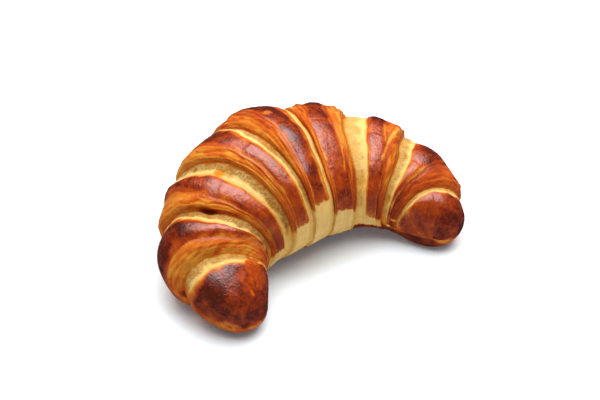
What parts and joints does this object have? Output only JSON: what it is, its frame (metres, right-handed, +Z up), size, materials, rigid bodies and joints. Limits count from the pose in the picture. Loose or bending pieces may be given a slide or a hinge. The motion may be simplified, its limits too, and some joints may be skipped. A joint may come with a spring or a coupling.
{
  "type": "croissant",
  "caption": "Baked crescent roll of laminated dough, with stepped turns, that lies on its flat underside.",
  "frame": {"origin": "centre of the bounding box's underside, on the surface that the croissant lies on", "axes": "+X from the larger horn to the smaller one, -Y out of the open side between the horns, +Z up"},
  "size_m": [0.14, 0.0904, 0.0591],
  "materials": {
    "crust": "baked laminated crust: dark brown egg-washed crowns, orange cut layers and pale strips between"
  },
  "bodies": {
    "root": {"croissant": "crust"}
  },
  "joints": []
}
